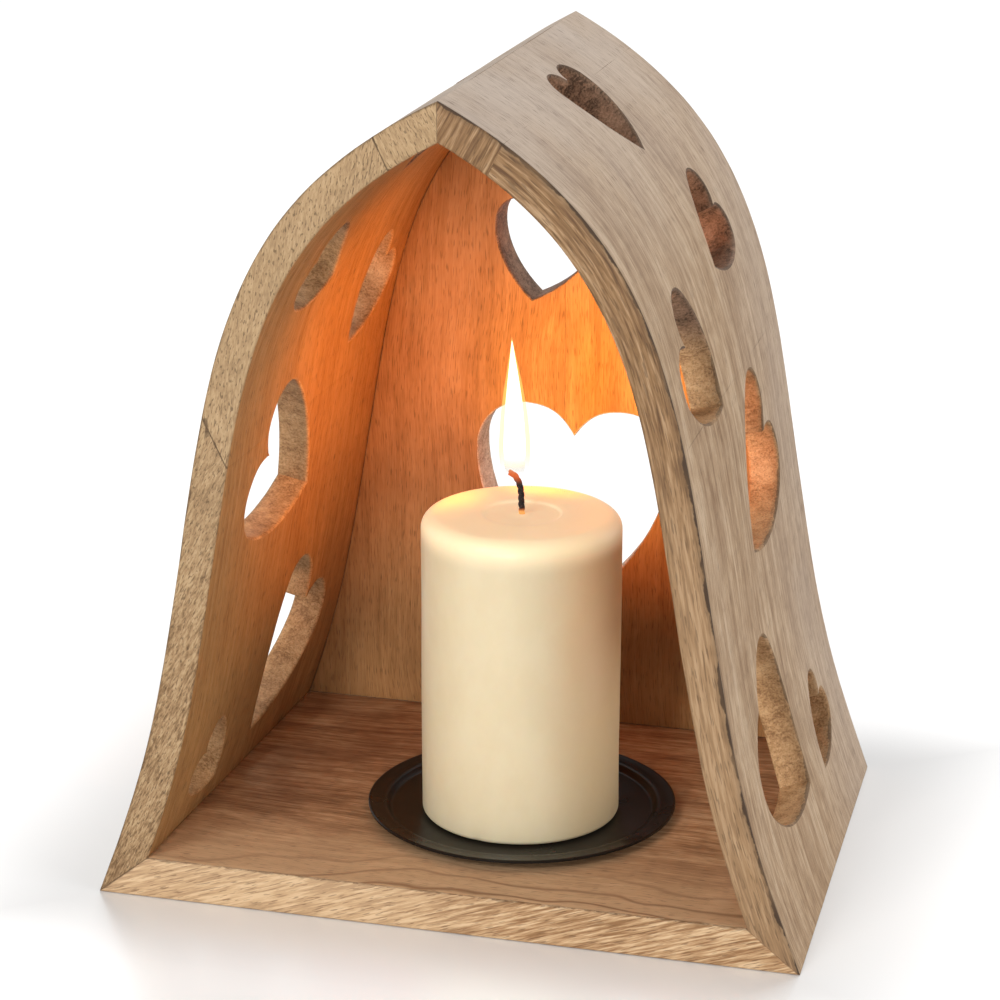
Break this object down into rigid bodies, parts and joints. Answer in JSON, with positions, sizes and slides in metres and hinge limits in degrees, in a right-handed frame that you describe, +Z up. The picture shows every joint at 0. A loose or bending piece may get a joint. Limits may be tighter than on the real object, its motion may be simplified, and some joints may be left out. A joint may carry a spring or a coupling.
{
  "type": "candle holder",
  "caption": "Pointed wooden arch with a base board and a closed back, pierced with hearts, holding a pillar candle on a dark metal dish.",
  "frame": {"origin": "middle of the footprint, on the surface that the holder stands on", "axes": "+Z up, the open front faces -Y, +X to the right as seen from the front"},
  "size_m": [0.2448, 0.182, 0.2821],
  "materials": {
    "walls": "sanded mango wood, open pores, matt",
    "base": "sanded mango wood, reddish, matt",
    "back": "sanded mango wood, upright grain, matt",
    "pins": "bright steel",
    "tray": "dark brown satin enamel",
    "wax": "ivory wax, soft sheen",
    "wick": "burnt braided cotton"
  },
  "bodies": {
    "arch": {"left_wall_foot_block": "walls", "left_wall_shoulder_block": "walls", "left_wall_crown_block": "walls", "right_wall_foot_block": "walls", "right_wall_shoulder_block": "walls", "right_wall_crown_block": "walls", "base_board": "base", "back_board_left": "back", "back_board_right": "back", "foot_pin_1": "pins", "foot_pin_2": "pins", "foot_pin_3": "pins", "foot_pin_4": "pins", "back_pin_1": "pins", "back_pin_2": "pins"},
    "tray": {"candle_tray": "tray"},
    "candle": {"candle_wax": "wax", "candle_wick": "wick"}
  },
  "joints": [
    {"name": "tray_slide", "type": "slide", "parent": "arch", "child": "tray", "axis": [0, -1, 0], "range_m": [0, 0.16]},
    {"name": "candle_lift", "type": "slide", "parent": "tray", "child": "candle", "axis": [0, 0, 1], "range_m": [0, 0.06]}
  ]
}
